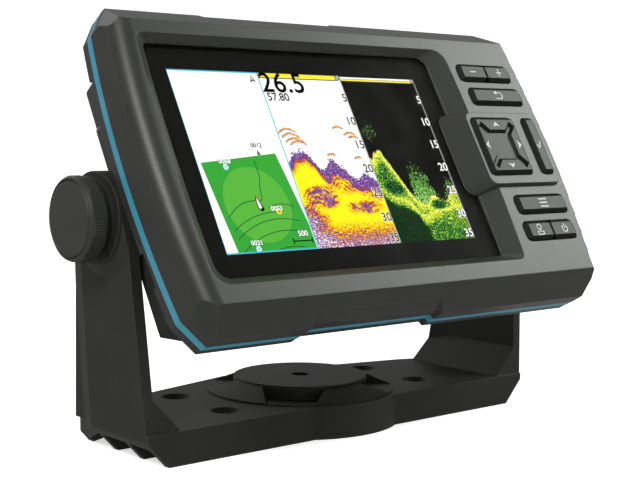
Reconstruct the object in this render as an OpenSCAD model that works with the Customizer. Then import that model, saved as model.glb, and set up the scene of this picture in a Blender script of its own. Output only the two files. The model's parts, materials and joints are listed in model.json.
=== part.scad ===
// Chartplotter display: a tilting electronics head in a U-shaped bail bracket.
// Millimetres. +Z is up, -Y is the side that faces the user, +X is the user's right.
// Origin: where the axis of the base's centre hole meets the face the base stands on.
// Head parts are drawn in head coordinates: origin on the tilt axis, -y out of the screen.

/* [Tilt] */
// Height of the tilt axis above the mounting surface
pivot_z = 77; // [74:1:84]
// Distance of the tilt axis behind the centre hole, negative is in front
pivot_y = -11.3; // [-12:0.1:-10]
// How far the head leans back at rest, degrees
tilt_rest = 30; // [10:1:60]

/* [Head] */
// Half of the head's width at its waist
head_half_w = 91.7; // [91.7:0.1:95]
// Half of the head's height
head_half_h = 57.3; // [57:0.1:60]
// Height of the head's middle above the tilt axis
head_mid_z = 4.1; // [3:0.1:5]
// Radius of the bowed left and right sides
bow_r = 365; // [340:5:600]
// Depth of the front face in front of the tilt axis
face_depth = 34.4; // [34:0.1:36]
// Depth of the rear cover behind the tilt axis
rear_depth = 12; // [11:0.5:14]
// Wall of the moulded covers
wall = 2.4; // [2:0.1:2.8]

/* [Screen] */
// Width of the lit area of a 5 inch panel
active_w = 108; // [107:0.5:108]
// Height of the lit area of a 5 inch panel
active_h = 64.8; // [64:0.2:65]
// Middle of the screen, to the left of the head's middle
screen_x = -17.4; // [-18:0.1:-17]
// Width of the window at its waist
window_w = 122; // [120:0.5:123]
// Height of the window
window_h = 79.6; // [78:0.2:80]

/* [Keys] */
// Travel of a pressed key
key_travel = 0.7; // [0.4:0.1:0.7]
// Running gap around each key
key_gap = 0.3; // [0.25:0.05:0.4]
// How far a key stands out of its face
key_rise = 1.3; // [0.8:0.1:1.6]

/* [Bracket] */
// Half of the bracket's width where its arms meet the ground line
bracket_half_w = 85.5; // [85.5:0.1:86]
// Outward lean of the arms, sideways travel per unit of height
arm_lean = 0.0622; // [0.055:0.001:0.07]
// Height of the base plate's top
base_h = 11; // [10:0.5:12]
// Height of the round centre boss
dome_h = 16; // [15:0.5:18]
// Sideways distance of the fixing holes from the centre
hole_x = 44.5; // [40:0.5:48]
// Front to back distance of the fixing holes from the centre
hole_y = 14.7; // [13:0.1:16]
// Radius of the fixing holes
hole_r = 2.6; // [2.2:0.1:3]
// Radius of the centre hole
centre_hole_r = 3.2; // [2.5:0.1:4]

/* [Knobs] */
// Radius of the clamp knobs
knob_r = 13.2; // [12:0.1:13.6]
// Outer face of the clamp knobs, from the middle of the bracket
knob_face_x = 101.5; // [100.5:0.5:104]
// Radius of the clamp studs
stud_r = 2.95; // [2.95:0.01:2.97]

/* [Hidden] */
$fn = 64;

housing_grey = "#3b3d39";
bracket_grey = "#33352f";
key_grey = "#5d625c";

face_y = -face_depth;
bezel_back = -21.3;
strip_t = 3;
flange_front = bezel_back + strip_t;
flange_back = flange_front + 3.2;
lip_y = -31.5;
ledge_y = -31.9;
island_y = face_y - 1.5;
cut_left = 100.4;
cut_right_top = 104;
cut_right_bottom = 102.1;
corner_turn = 34.4;
face_top = 47.1;
face_bottom = -49.4;
notch_depth = 1.6;
notch_half = 29;
body_inset = 7.1;
shoulder = 4;
body_half_w = head_half_w - body_inset;
side_x = body_half_w - 0.6;

arm_r = 14.6;
arm_t = 3.8;
boss_face_x = 92.4;
inner_boss_x = 85.6;
washer_t = 1.7;
skirt_r = 36;
disc_r = 24.1;
stud_hole_r = 3.4;
stud_end_x = 72;
step_r = 12.1;
insert_r = 5.5;
knob_back_x = boss_face_x + washer_t + 0.3;

window_mid = [screen_x, 3.9];
glass_t = 1.2;
glass_y = lip_y + 0.35;
lcd_y = glass_y + glass_t + 0.05;

// Puts head parts, drawn about the tilt axis, into the bracket's frame
module in_head() translate([0, pivot_y, pivot_z]) rotate([-tilt_rest, 0, 0]) children();

// Extrudes a drawing in x and z along y, from y0 to y1
module slab_y(y0, y1) translate([0, y1, 0]) rotate([90, 0, 0]) linear_extrude(y1 - y0) children();

// Extrudes a drawing in y and z along x, from x0 to x1
module slab_x(x0, x1) translate([x0, 0, 0]) rotate([90, 0, 90]) linear_extrude(x1 - x0) children();

// A straight round bar along y, from y0 to y1, in the head
module bar_y(r, y0, y1) translate([0, y0, 0]) rotate([-90, 0, 0]) cylinder(r = r, h = y1 - y0);

// A straight round bar along x, from x0 to x1
module bar_x(r, x0, x1) translate([x0, 0, 0]) rotate([0, 90, 0]) cylinder(r = r, h = x1 - x0);

// The same bar on the right or on the left, x counted outwards
module bar_out(side, r, x0, x1) mirror([side < 0 ? 1 : 0, 0, 0]) bar_x(r, x0, x1);

// A box from one corner to the other
module span(low, high) translate(low) cube(high - low);

// A rectangle w by h with its four corners rounded to r, exact arcs
module round_rect(w, h, r) {
    square([w, h - 2 * r], center = true);
    square([w - 2 * r, h], center = true);
    for (x = [-1, 1], z = [-1, 1]) translate([x * (w / 2 - r), z * (h / 2 - r)]) circle(r);
}

// The head's outline seen from the front, drawn in by d all round
module outline(d) translate([0, head_mid_z]) intersection() {
    square([2 * head_half_w, 2 * (head_half_h - d)], center = true);
    translate([head_half_w - bow_r, 0]) circle(r = bow_r - d, $fn = 256);
    translate([bow_r - head_half_w, 0]) circle(r = bow_r - d, $fn = 256);
    outline_corners(d);
}

// A four-sided shape whose sides cut the outline's corners, drawn in by d
module outline_corners(d) {
    c = cos(corner_turn);
    s = sin(corner_turn);
    l = cut_left - d;
    t = cut_right_top - d;
    b = cut_right_bottom - d;
    polygon([[(t + b) / 2 / c, (t - b) / 2 / s], [(t - l) / 2 / c, (t + l) / 2 / s],
        [-l / c, 0], [(b - l) / 2 / c, -(b + l) / 2 / s]]);
}

// The shallow step in the middle of the head's top and bottom edges
module edge_steps(deep) translate([window_mid[0], 0, head_mid_z]) for (side = [0, 1]) mirror([0, 0, side])
    intersection() {
        slab_y(-50, 20) polygon([[-notch_half + 2.6, 52.6], [notch_half - 2.6, 52.6],
            [notch_half + 2, 62], [-notch_half - 2, 62]]);
        slab_x(-60, 60) polygon([[face_y + 4, 53.1], [face_y + 8, head_half_h - notch_depth - deep],
            [20, head_half_h - notch_depth - deep], [20, 62], [face_y + 4, 62]]);
    }

// ---- bracket ----

// One arm seen from the side: wide at the base, round at the top
module arm_side() {
    polygon([[-30.75, 0], [17.4, 0], [9.8, 62], [pivot_y + 0.94 * arm_r, pivot_z + 0.34 * arm_r],
        [pivot_y - arm_r, pivot_z]]);
    translate([pivot_y, pivot_z]) circle(r = arm_r, $fn = 96);
}

// The bracket seen from the front: leaning arms and chamfered lower corners
module bracket_front() {
    top = pivot_z + arm_r + 1;
    outer_top = bracket_half_w + arm_lean * top;
    inner_low = bracket_half_w - arm_t + arm_lean * 21.4;
    right = [[77.9, 0], [bracket_half_w + 0.5, 8.6], [outer_top, top], [outer_top - arm_t, top],
        [inner_low, 21.4], [inner_low - 9.8, base_h]];
    polygon(concat(right, [for (i = [len(right) - 1:-1:0]) [-right[i][0], right[i][1]]]));
}

// The base seen from above, drawn in by d: straight front, swept back, round middle
module base_plan(d) {
    polygon([[-86 + d, -30.75 + d], [86 - d, -30.75 + d], [86 - d, 2.2], [82 - d, 15.9 - d],
        [69, 21 - d], [8.4, 35.5 - d], [-8.4, 35.5 - d], [-69, 21 - d], [-82 + d, 15.9 - d],
        [-86 + d, 2.2]]);
    circle(r = skirt_r - d, $fn = 96);
}

// Centre boss: flat disc on a conical skirt with four wedge pockets between the fixing holes
module dome() difference() {
    union() {
        translate([0, 0, base_h - 1]) cylinder(r = disc_r + 9.6, h = 1.6);
        translate([0, 0, base_h + 0.6]) cylinder(r1 = disc_r + 9.6, r2 = disc_r - 0.4, h = dome_h - base_h - 1);
        translate([0, 0, dome_h - 1.6]) cylinder(r = disc_r, h = 1.6);
    }
    for (turn = [45:90:315]) rotate(turn) difference() {
        slab_y(-disc_r - 20, -disc_r + 4)
            polygon([[-8.4, base_h + 0.4], [8.4, base_h + 0.4], [11.4, dome_h - 0.3], [-11.4, dome_h - 0.3]]);
        cylinder(r = disc_r + 0.2, h = 40);
    }
}

// Hollows under the base, open downwards and through the lower corners, with two long ribs
module base_hollows() difference() {
    union() {
        translate([0, 0, -1]) linear_extrude(base_h - 1.8) base_plan(2.5);
        translate([0, 0, -1]) cylinder(r = disc_r - 3, h = dome_h - 2);
    }
    for (y = [-15.4, 0]) span([-90, y - 1.2, -2], [90, y + 1.2, dome_h]);
    for (x = [-22, 22]) span([x - 1.2, -40, -2], [x + 1.2, 40, dome_h]);
    for (x = [-hole_x, hole_x], y = [-hole_y, hole_y]) translate([x, y, -2]) cylinder(r = 7, h = dome_h);
    translate([0, 0, -2]) cylinder(r = 8, h = dome_h + 2);
}

// Flat facet down the rear edge of each arm's outer face
module arm_facet(side) translate([side * bracket_half_w, 0, 0]) rotate([0, side * atan(arm_lean), 0])
    linear_extrude(120) polygon([[side * 0.01, 2.2], [-side * 5.1, 19.2], [side * 6, 19.2], [side * 6, 2.2]]);

// The inward turn of each arm's rear edge, on its inner face
module arm_turn(side) intersection() {
    translate([side * (bracket_half_w - arm_t), 0, 0]) rotate([0, side * atan(arm_lean), 0])
        translate([0, 0, turn_low]) linear_extrude(81)
            polygon([[side * 0.5, 2.6], [-side * 2.3, 19.2], [side * 1.2, 19.2], [side * 1.2, 2.6]]);
    slab_x(-100, 100) arm_side();
}
turn_low = 9.3;

// Raised round pad on the outer face of each arm, blending down into the face
module arm_pad(side) intersection() {
    translate([side * (boss_face_x - 4), pivot_y, pivot_z]) rotate([0, side * 90, 0]) union() {
        cylinder(r = arm_r, h = 4);
        cylinder(r1 = arm_r + 5, r2 = arm_r, h = 2.9);
    }
    slab_x(-100, 100) arm_side();
}

module bail_bracket() color(bracket_grey) difference() {
    union() {
        intersection() {
            slab_y(-40, 45) bracket_front();
            union() {
                difference() {
                    slab_x(-100, 100) arm_side();
                    for (side = [-1, 1]) arm_facet(side);
                }
                linear_extrude(base_h) base_plan(0);
            }
        }
        for (side = [-1, 1]) {
            arm_turn(side);
            arm_pad(side);
            translate([0, pivot_y, pivot_z]) bar_out(side, arm_r - 0.8, inner_boss_x, 89);
        }
        dome();
    }
    base_hollows();
    for (x = [-hole_x, hole_x], y = [-hole_y, hole_y]) translate([x, y, 0]) {
        translate([0, 0, -1]) cylinder(r = hole_r, h = base_h + 2);
        translate([0, 0, base_h - 3.2]) cylinder(r1 = hole_r, r2 = 5.2, h = 3.2);
    }
    translate([0, 0, -1]) cylinder(r = centre_hole_r, h = dome_h + 2);
    translate([0, pivot_y, pivot_z]) bar_x(stud_hole_r, -120, 120);
}

module tilt_washer(side) color("#20221f") translate([0, pivot_y, pivot_z]) difference() {
    bar_out(side, 12, body_half_w + 0.1, inner_boss_x - 0.1);
    bar_x(stud_hole_r, -120, 120);
}

// ---- clamp knobs ----

// Half section of a knob's moulding, radius against height above its back
module knob_section() {
    h = knob_face_x - knob_back_x;
    polygon([[stud_r, 0], [knob_r - 0.9, 0], [knob_r, 1.2], [knob_r, h - 1.4], [knob_r - 0.3, h - 0.7],
        [knob_r - 0.9, h - 0.3], [knob_r - 1.3, h - 0.9], [knob_r - 1.7, h - 0.2], [knob_r - 2.4, h],
        [0, h], [0, h - 2], [stud_r, h - 2]]);
}

module knob(side) color("#353733") translate([side * knob_back_x, pivot_y, pivot_z]) rotate([0, side * 90, 0]) {
    rotate_extrude($fn = 96) knob_section();
    for (group = [0:5], rib = [-2.5:2.5]) rotate(20 + group * 60 + rib * 3.8)
        translate([knob_r - 0.05, 0, 1.5]) cylinder(r = 0.3, h = 3.9, $fn = 16);
}

module knob_stud(side) color("silver") translate([0, pivot_y, pivot_z])
    bar_out(side, stud_r, stud_end_x, knob_face_x - 2.05);

module knob_washer(side) color("#1d1e1c") translate([0, pivot_y, pivot_z]) difference() {
    union() {
        bar_out(side, step_r + 0.2, boss_face_x + 0.1, boss_face_x + 0.9);
        bar_out(side, step_r - 0.8, boss_face_x + 0.1, boss_face_x + washer_t);
    }
    bar_x(stud_hole_r - 0.1, -120, 120);
}

// ---- front bezel ----

// A disc whose rim is one bowed side of the bezel; round is the radius of its front edge
module side_rim(side, slope, round) translate([-side * (bow_r - head_half_w), 0, head_mid_z])
    rotate([-90, 0, 0]) rotate_extrude($fn = 256) {
        polygon([[0, face_y], [bow_r - slope - round, face_y], [bow_r - slope - round, face_y + round],
            [bow_r - slope, face_y + round], [bow_r, bezel_back], [0, bezel_back]]);
        translate([bow_r - slope - round, face_y + round]) circle(r = round);
    }

// Bezel section from the side: slanted top and bottom edges
module bezel_side() translate([0, head_mid_z]) polygon([[face_y, face_bottom],
    [face_y + head_half_h + face_bottom, -head_half_h], [bezel_back, -head_half_h], [bezel_back, head_half_h],
    [face_y + head_half_h - face_top, head_half_h], [face_y, face_top]]);

// Wedge outside one of the left front corners, turned to face along the corner's cut
module corner_wedge(sz) translate([0, 0, head_mid_z]) mirror([1, 0, 0]) mirror([0, 0, sz < 0 ? 1 : 0])
    rotate([0, -corner_turn, 0]) linear_extrude(80, center = true)
        polygon([[cut_left - 3.6, face_y - 0.01], [cut_left, face_y + 9], [cut_left + 30, face_y + 9],
            [cut_left + 30, face_y - 5], [cut_left - 5.6, face_y - 5]]);

// Points round the window at one depth: reach to the left, right, top and bottom, and the corner
// radii in the order top left, top right, bottom right, bottom left. The sides are bowed.
function bowed(half, z) = half - z * z / 1320;
function corner_arc(x, z, r, start) = [for (i = [0:8])
    let(a = start + i * 11.25) [x + r * cos(a), z + r * sin(a)]];
function window_ring(l, r, t, b, q) = concat(
    corner_arc(bowed(r, t - q[1]) - q[1], t - q[1], q[1], 0),
    corner_arc(q[0] - bowed(l, t - q[0]), t - q[0], q[0], 90),
    [for (i = [1:7]) let(z = t - (t + b) * i / 8) [-bowed(l, z), z]],
    corner_arc(q[3] - bowed(l, b - q[3]), q[3] - b, q[3], 180),
    corner_arc(bowed(r, b - q[2]) - q[2], q[2] - b, q[2], 270),
    [for (i = [1:7]) let(z = (t + b) * i / 8 - b) [bowed(r, z), z]]);

// Window opening: walls that splay outwards from the glass to the face
module window_cut() translate([window_mid[0], 0, window_mid[1]]) {
    w = window_w / 2;
    h = window_h / 2;
    past = 1;
    k = (lip_y - face_y + past) / (lip_y - face_y);
    hull() {
        slab_y(lip_y - 0.05, lip_y + 0.6) polygon(window_ring(w, w, h, h, [1.2, 4.5, 1, 4.5]));
        slab_y(face_y - past - 0.05, face_y - past)
            polygon(window_ring(w + 4.6 * k, w + 10 * k, h + 2.7 * k, h + 3.5 * k, [4, 6.5, 3, 7]));
    }
}

// Keys on the bezel: name, middle x, middle z, width, height, and the side joined to its neighbour
pill_h = 7.1;
pills = [["key_minus", 63.6, 36.8, 13.9, pill_h, 1], ["key_plus", 77.8, 36.8, 13.9, pill_h, -1],
    ["key_back", 72.2, 26.7, 28, pill_h, 0], ["key_menu", 72.6, -18.6, 27.4, 7.4, 0],
    ["key_mark", 64.8, -29.2, 13.5, 7.4, 1], ["key_power", 78.6, -29.2, 13.5, 7.4, -1],
    ["key_select", 82, 4.8, 7.1, 23.5, 0]];
dpad_mid = [62.3, 4.8];
dpad_size = [22.8, 23.5];
island_low = [49.4, -10.4];
island_high = [88, 19];
function pill(name) = [for (p = pills) if (p[0] == name) p][0];
function key_top(name) = (name == "key_select" ? island_y : face_y) - key_rise;

// Window for one key, or for two keys side by side
module key_window(mid_x, mid_z, w, h) translate([mid_x, 0, mid_z]) slab_y(face_y - 5, ledge_y + 1)
    round_rect(w + 2 * key_gap, h + 2 * key_gap, 2.3 + key_gap);

// The raised field around the direction pad and the select key, with sloped walls and round corners
module island() hull() {
    field_plate(lip_y - 0.1, island_low - [10.2, 2.4], island_high + [0, 0.8], 4);
    field_plate(island_y, island_low, island_high - [0.3, 0], 3.4);
}

// A thin plate with round corners, from one corner of the raised field to the other
module field_plate(y, low, high, r) translate([(low[0] + high[0]) / 2, 0, (low[1] + high[1]) / 2])
    slab_y(y, y + 0.1) round_rect(high[0] - low[0], high[1] - low[1], r);

module screw_posts(r, y0, y1) for (p = case_posts) translate([p[0], 0, p[1]]) bar_y(r, y0, y1);
case_posts = [[-72, 50], [72, 50], [-66, -42.2], [66, -42.2], [-18, 50], [-18, -42.2]];

// Space behind the face, drawn in from the slanted edges and corners
module bezel_hollow() intersection() {
    slab_y(ledge_y, bezel_back + 1) outline(5.2);
    slab_y(ledge_y, bezel_back + 1) translate([0, head_mid_z]) outline_corners(8.4);
    slab_x(-100, 100) translate([0, head_mid_z]) polygon([
        [ledge_y, face_bottom + 1], [ledge_y + 3.6, face_bottom - 2.6], [bezel_back + 2, face_bottom - 2.6],
        [bezel_back + 2, face_top + 5], [ledge_y + 5.9, face_top + 5], [ledge_y, face_top - 0.9]]);
}

module front_bezel() color(housing_grey) in_head() difference() {
    union() {
        difference() {
            intersection() {
                slab_y(face_y, bezel_back) outline(0);
                side_rim(-1, 1, 6);
                side_rim(1, 0.2, 1);
                slab_x(-100, 100) bezel_side();
            }
            for (sz = [-1, 1]) corner_wedge(sz);
            edge_steps(0);
            window_cut();
        }
        island();
    }
    // hollow behind the face, leaving the rim and a ledge for the glass
    difference() {
        bezel_hollow();
        screw_posts(3.2, ledge_y - 0.5, bezel_back);
        for (p = key_board_posts) translate([p[0], 0, p[1]]) bar_y(2, ledge_y - 0.5, key_board_y - 0.05);
        translate([window_mid[0], 0, window_mid[1]]) slab_y(ledge_y - 0.5, lip_y + 0.001)
            square([window_w + 12, window_h + 10], center = true);
    }
    translate([window_mid[0], 0, window_mid[1]]) slab_y(lip_y, bezel_back)
        square([window_w + 5.4, window_h + 5.6], center = true);
    screw_posts(1.3, lip_y + 1, bezel_back + 1);
    for (p = key_board_posts) translate([p[0], 0, p[1]]) bar_y(1, key_board_y - 4, key_board_y);
    key_window(70.7, 36.8, 28.1, pill_h);
    key_window(72.2, 26.7, 28, pill_h);
    key_window(72.6, -18.6, 27.4, 7.4);
    key_window(71.7, -29.2, 27.3, 7.4);
    key_window(82, 4.8, 7.1, 23.5);
    key_window(dpad_mid[0], dpad_mid[1], dpad_size[0], dpad_size[1]);
}

module accent_strip() color("#2f87a8") in_head() difference() {
    slab_y(bezel_back + 0.05, flange_front - 0.05) difference() {
        outline(0.15);
        outline(2.9);
    }
    edge_steps(0.15);
}

module case_gasket() color("#141513") in_head() slab_y(bezel_back + 0.05, flange_front - 0.05) difference() {
    outline(3.2);
    outline(4.8);
}

// ---- rear housing ----

// Outer form of the rear cover behind its flange, drawn in by d all round
module rear_form(d) intersection() {
    slab_y(flange_back - 4, rear_depth - d) {
        outline(body_inset + shoulder + d);
        intersection() {
            outline(body_inset + d);
            translate([0, head_mid_z]) side_band(d);
        }
    }
    translate([0, 0, -80]) linear_extrude(160) polygon([
        [-side_x + d, flange_back - 5], [side_x - d, flange_back - 5], [side_x - d, -2.5],
        [72 - d, rear_depth + 1], [-72 + d, rear_depth + 1], [-side_x + d, -2.5]]);
    slab_x(-100, 100) translate([0, head_mid_z]) polygon([
        [flange_back - 5, -52.6 + d], [-6, -50.5 + d], [rear_depth + 1, -36 + d],
        [rear_depth + 1, 38 - d], [-3, 50.5 - d], [flange_back - 5, 52.6 - d]]);
}

// The band of height where the cover's sides stand out to meet the arms, with slanted ends
module side_band(d) {
    up = 109 - 1.4 * d;
    down = 125.5 - 1.4 * d;
    polygon([[100, up - 100], [60, up - 60], [-60, up - 60], [-100, up - 100],
        [-100, 100 - down], [-60, 60 - down], [60, 60 - down], [100, 100 - down]]);
}

// Notches in the flange that let the arms pass as the head tilts
module flange_notches() translate([0, 0, head_mid_z]) for (sx = [-1, 1], sz = [-1, 1])
    mirror([sx < 0 ? 1 : 0, 0, 0]) mirror([0, 0, sz < 0 ? 1 : 0])
        span([86.6, flange_back - 1.6, 24], [95, flange_back + 1, 35.4]);

socket_x = 19;
socket_z = -9;
socket_r = 8.6;
nose_r = 7.9;
module socket_bores(r) for (x = [-socket_x, socket_x]) translate([x, 0, socket_z])
    bar_y(r, -10, rear_depth + 5);

// Pads, ribs and wells on the back of the rear cover
module rear_relief() {
    for (x = [-60:8:-44], side = [-1, 1]) translate([side * x, 0, head_mid_z - 1])
        slab_y(rear_depth - 1, rear_depth + 1) round_rect(3.6, 44, 1.5);
    translate([0, 0, 26]) slab_y(rear_depth - 0.8, rear_depth + 1) round_rect(64, 17, 2);
    for (x = [-socket_x, socket_x]) translate([x, 0, socket_z]) bar_y(13.5, rear_depth - 1.4, rear_depth + 1);
}

module rear_housing() color(housing_grey) in_head() difference() {
    union() {
        difference() {
            union() {
                slab_y(flange_front, flange_back) outline(0.3);
                rear_form(0);
                bar_x(12.5, -body_half_w, body_half_w);
            }
            edge_steps(0.2);
            flange_notches();
            rear_relief();
            difference() {
                union() {
                    rear_form(wall);
                    slab_y(flange_front - 1, flange_front + 0.9) outline(5.4);
                }
                // pivot bosses grow from the side walls
                bar_x(9, 64, 90);
                bar_x(9, -90, -64);
                // screw pillars for the case and the main board
                intersection() {
                    screw_posts(4.6, flange_front, 20);
                    rear_form(0.3);
                }
                for (p = board_posts) translate([p[0], 0, p[1]]) bar_y(3, board_y + 1.7, rear_depth);
                for (x = [-socket_x, socket_x]) translate([x, 0, socket_z]) bar_y(11, 4.5, rear_depth);
            }
        }
    }
    bar_x(insert_r + 0.05, 69, 84.05);
    bar_x(insert_r + 0.05, -84.05, -69);
    bar_x(stud_hole_r, -90, -63);
    bar_x(stud_hole_r, 63, 90);
    screw_posts(1.6, flange_front - 1, 20);
    screw_posts(3.3, -12, 20);
    for (p = board_posts) translate([p[0], 0, p[1]]) bar_y(1.1, board_y, 4);
    socket_bores(socket_r);
    translate([0, 0, -26]) bar_y(3.05, 0, rear_depth + 5);
}

module pivot_insert(side) color("#b08d3c") in_head() difference() {
    bar_out(side, insert_r, 70, 84);
    bar_x(stud_r + 0.05, -100, 100);
}

// ---- screen ----

module glass_adhesive() color("#101010") in_head() translate([window_mid[0], 0, window_mid[1]])
    slab_y(lip_y + 0.03, glass_y - 0.03) difference() {
        square([window_w + 5, window_h + 5.2], center = true);
        square([window_w + 1.6, window_h + 1.2], center = true);
    }

module cover_glass() color("#15181a", 0.55) in_head() translate([window_mid[0], 0, window_mid[1]])
    slab_y(glass_y, glass_y + glass_t) square([window_w + 5, window_h + 5.2], center = true);

module lcd_panel() color("#0d1418") in_head() translate([window_mid[0], 0, window_mid[1]])
    slab_y(lcd_y, lcd_y + 1.3) square([active_w + 9, active_h + 7.2], center = true);

module backlight_stack() color("#e8e8e0") in_head() translate([window_mid[0], 0, window_mid[1]])
    slab_y(lcd_y + 1.4, lcd_y + 2.6) square([active_w + 7, active_h + 5.2], center = true);

module lcd_frame() color("#8d9294") in_head() translate([window_mid[0], 0, window_mid[1]]) difference() {
    slab_y(lcd_y + 0.4, lcd_y + 3.4) square([active_w + 12.4, active_h + 10.6], center = true);
    slab_y(lcd_y - 1, lcd_y + 1.35) square([active_w + 9.4, active_h + 7.6], center = true);
    slab_y(lcd_y - 1, lcd_y + 2.7) square([active_w + 7.4, active_h + 5.6], center = true);
    for (x = [-40, 0, 40]) translate([x, 0, 0]) slab_y(lcd_y, lcd_y + 4) round_rect(24, 40, 4);
}

board_y = -16.5;
board_posts = [[-58, 40], [52, 40], [-58, -32], [42, -32]];

module lcd_flex() color("#b5752a") in_head() translate([window_mid[0], 0, 0])
    span([-14, lcd_y + 3.6, -30], [14, board_y - 0.1, -29.8]);

// ---- electronics ----

module main_board() color("#1f5a35") in_head() slab_y(board_y, board_y + 1.6) difference() {
    translate([-6, 4]) round_rect(124, 80, 2);
    for (p = board_posts) translate(p) circle(1.35);
}

module main_board_chips() color("#191919") in_head() {
    for (p = [[-20, 18, 15], [2, 20, 11], [-42, 4, 9], [34, 22, 8], [-44, 26, 7]])
        translate([p[0], 0, p[1]]) slab_y(board_y + 1.65, board_y + 3.3) square(p[2], center = true);
    for (x = [-50:7:-22]) translate([x, 0, -22]) slab_y(board_y + 1.65, board_y + 4.2) round_rect(5, 5, 0.8);
}

module shield_can() color("#b9bcbc") in_head() translate([40, 0, 2]) difference() {
    slab_y(board_y + 1.65, board_y + 5.4) square([22, 20], center = true);
    slab_y(board_y + 1, board_y + 5) square([21.4, 19.4], center = true);
}

module gps_antenna() color("#c9b38c") in_head() translate([-2, 0, 38]) {
    slab_y(board_y - 4.4, board_y - 0.1) square([18, 10], center = true);
    slab_y(board_y - 4.7, board_y - 4.3) circle(3);
}

module buzzer() color("#222222") in_head() translate([-42, 0, -14]) difference() {
    bar_y(5.5, board_y + 1.65, board_y + 6.6);
    bar_y(1.2, board_y + 5, board_y + 7);
}

module backup_cell() color("#c9cccc") in_head() translate([20, 0, 2]) bar_y(6, board_y + 1.65, board_y + 4.4);

key_board_y = -25.6;
switch_h = 1;
key_board_posts = [[53.2, 36.8], [76.2, 19.9], [53.2, -11.5], [54, -29]];

module key_board() color("#23633c") in_head() slab_y(key_board_y, key_board_y + 1.2) difference() {
    translate([67.2, 4]) round_rect(33.4, 74, 2);
    for (p = key_board_posts) translate(p) circle(1.2);
}

// Middle of every switch on the key board
function switch_places() = concat([for (p = pills) [p[1], p[2]]],
    [for (a = [0:90:270]) [dpad_mid[0] + 8 * cos(a), dpad_mid[1] + 8 * sin(a)]]);

module key_switches() color("#caa84a") in_head() for (p = switch_places()) translate([p[0], 0, p[1]]) {
    slab_y(key_board_y - 0.6, key_board_y - 0.02) square(3.8, center = true);
    bar_y(1.6, key_board_y - switch_h, key_board_y - 0.55);
}

module keypad_membrane() color("#4a4d4a") in_head() slab_y(-29.3, -28.5) difference() {
    translate([67.2, 4]) round_rect(33.4, 74, 2);
    for (p = switch_places()) translate(p) circle(2.2);
    for (p = key_board_posts) translate(p) circle(2.4);
}

module board_ribbon() color("#b5752a") in_head() span([50, key_board_y + 1.3, 2], [60, board_y - 0.1, 2.25]);

// ---- keys ----

// Chamfered key top: a block whose four upper edges are cut back
module key_cap(w, h, top, bottom, join = 0) intersection() {
    slab_y(top, bottom) round_rect(w, h, 2.2);
    slab_x(-40, 40) polygon(cap_side(h / 2, cap_slope_z, cap_slope_z, top, bottom));
    translate([0, 0, -40]) linear_extrude(80) polygon([for (p = cap_side(w / 2,
        join < 0 ? cap_joined : cap_slope_x, join > 0 ? cap_joined : cap_slope_x, top, bottom)) [p[1], p[0]]]);
}
cap_slope_x = 1.7;
cap_slope_z = 1.3;
cap_joined = 0.45;
cap_round = 0.35;

// One section of a key cap: upright below the face, then drawn in by low and high up to its top
function cap_side(half, low, high, top, bottom) = [[bottom, -half], [top + key_rise, -half],
    [top + cap_round, low - cap_round - half], [top, low - half], [top, half - high],
    [top + cap_round, half - high + cap_round], [top + key_rise, half], [bottom, half]];

// One key: cap, retaining flange behind the bezel and a plunger over its switch
module pill_key(name) {
    k = pill(name);
    color(key_grey) in_head() translate([k[1], 0, k[2]]) {
        key_cap(k[3], k[4], key_top(name), ledge_y + 0.2, k[5]);
        slab_y(ledge_y + 0.1, ledge_y + 0.9) square([k[3] - 3, k[4] + 1.8], center = true);
        bar_y(1.5, ledge_y + 0.8, key_board_y - switch_h - key_travel - 0.1);
    }
}

// A recess in the direction pad: its floor w by h, its sides splayed out at 45 degrees
module splayed(w, h) {
    floor_y = island_y - key_rise + recess;
    open = recess + 0.2;
    hull() {
        slab_y(floor_y - 0.01, floor_y) square([w, h], center = true);
        slab_y(floor_y - open - 0.01, floor_y - open) square([w + 2 * open, h + 2 * open], center = true);
    }
}
recess = 1;

module key_dpad() color(key_grey) in_head() translate([dpad_mid[0], 0, dpad_mid[1]]) difference() {
    union() {
        key_cap(dpad_size[0], dpad_size[1], island_y - key_rise, -32.1);
        bar_y(2.4, -32.5, dpad_hinge_y);
    }
    splayed(10.6, 10.6);
    for (turn = [-45, 45]) rotate([0, turn, 0]) splayed(22.6, 1);
}
dpad_hinge_y = -31.1;

module dpad_actuator() color("#3f423f") in_head() translate([dpad_mid[0], 0, dpad_mid[1]]) {
    slab_y(dpad_hinge_y + 0.1, dpad_hinge_y + 1.1) round_rect(23.4, 24.4, 2.5);
    for (a = [0:90:270]) translate([8 * cos(a), 0, 8 * sin(a)])
        bar_y(1.4, dpad_hinge_y + 1, key_board_y - switch_h - 0.4);
}

module key_minus() pill_key("key_minus");
module key_plus() pill_key("key_plus");
module key_back() pill_key("key_back");
module key_select() pill_key("key_select");
module key_menu() pill_key("key_menu");
module key_mark() pill_key("key_mark");
module key_power() pill_key("key_power");

// ---- rear sockets and fasteners ----

// A round cable socket: collar, mounting shoulder and key rib
module socket_body(x) color("#161716") in_head() translate([x, 0, socket_z]) difference() {
    union() {
        bar_y(socket_r - 0.1, -1, rear_depth + 2.4);
        bar_y(nose_r, rear_depth + 2.3, rear_depth + 8);
        bar_y(socket_r + 1.6, 2, 4.4);
    }
    bar_y(socket_r - 2, 1, rear_depth + 9);
}

// Contact pins standing in a socket
module socket_pins(x, count) color("#c8a850") in_head() translate([x, 0, socket_z])
    for (i = [0:count - 1]) translate([3.4 * cos(i * 360 / count + 45), 0, 3.4 * sin(i * 360 / count + 45)])
        bar_y(0.75, 1.05, rear_depth + 3);

module power_socket() socket_body(-socket_x);
module power_pins() socket_pins(-socket_x, 4);
module transducer_socket() socket_body(socket_x);
module transducer_pins() socket_pins(socket_x, 4);

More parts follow.
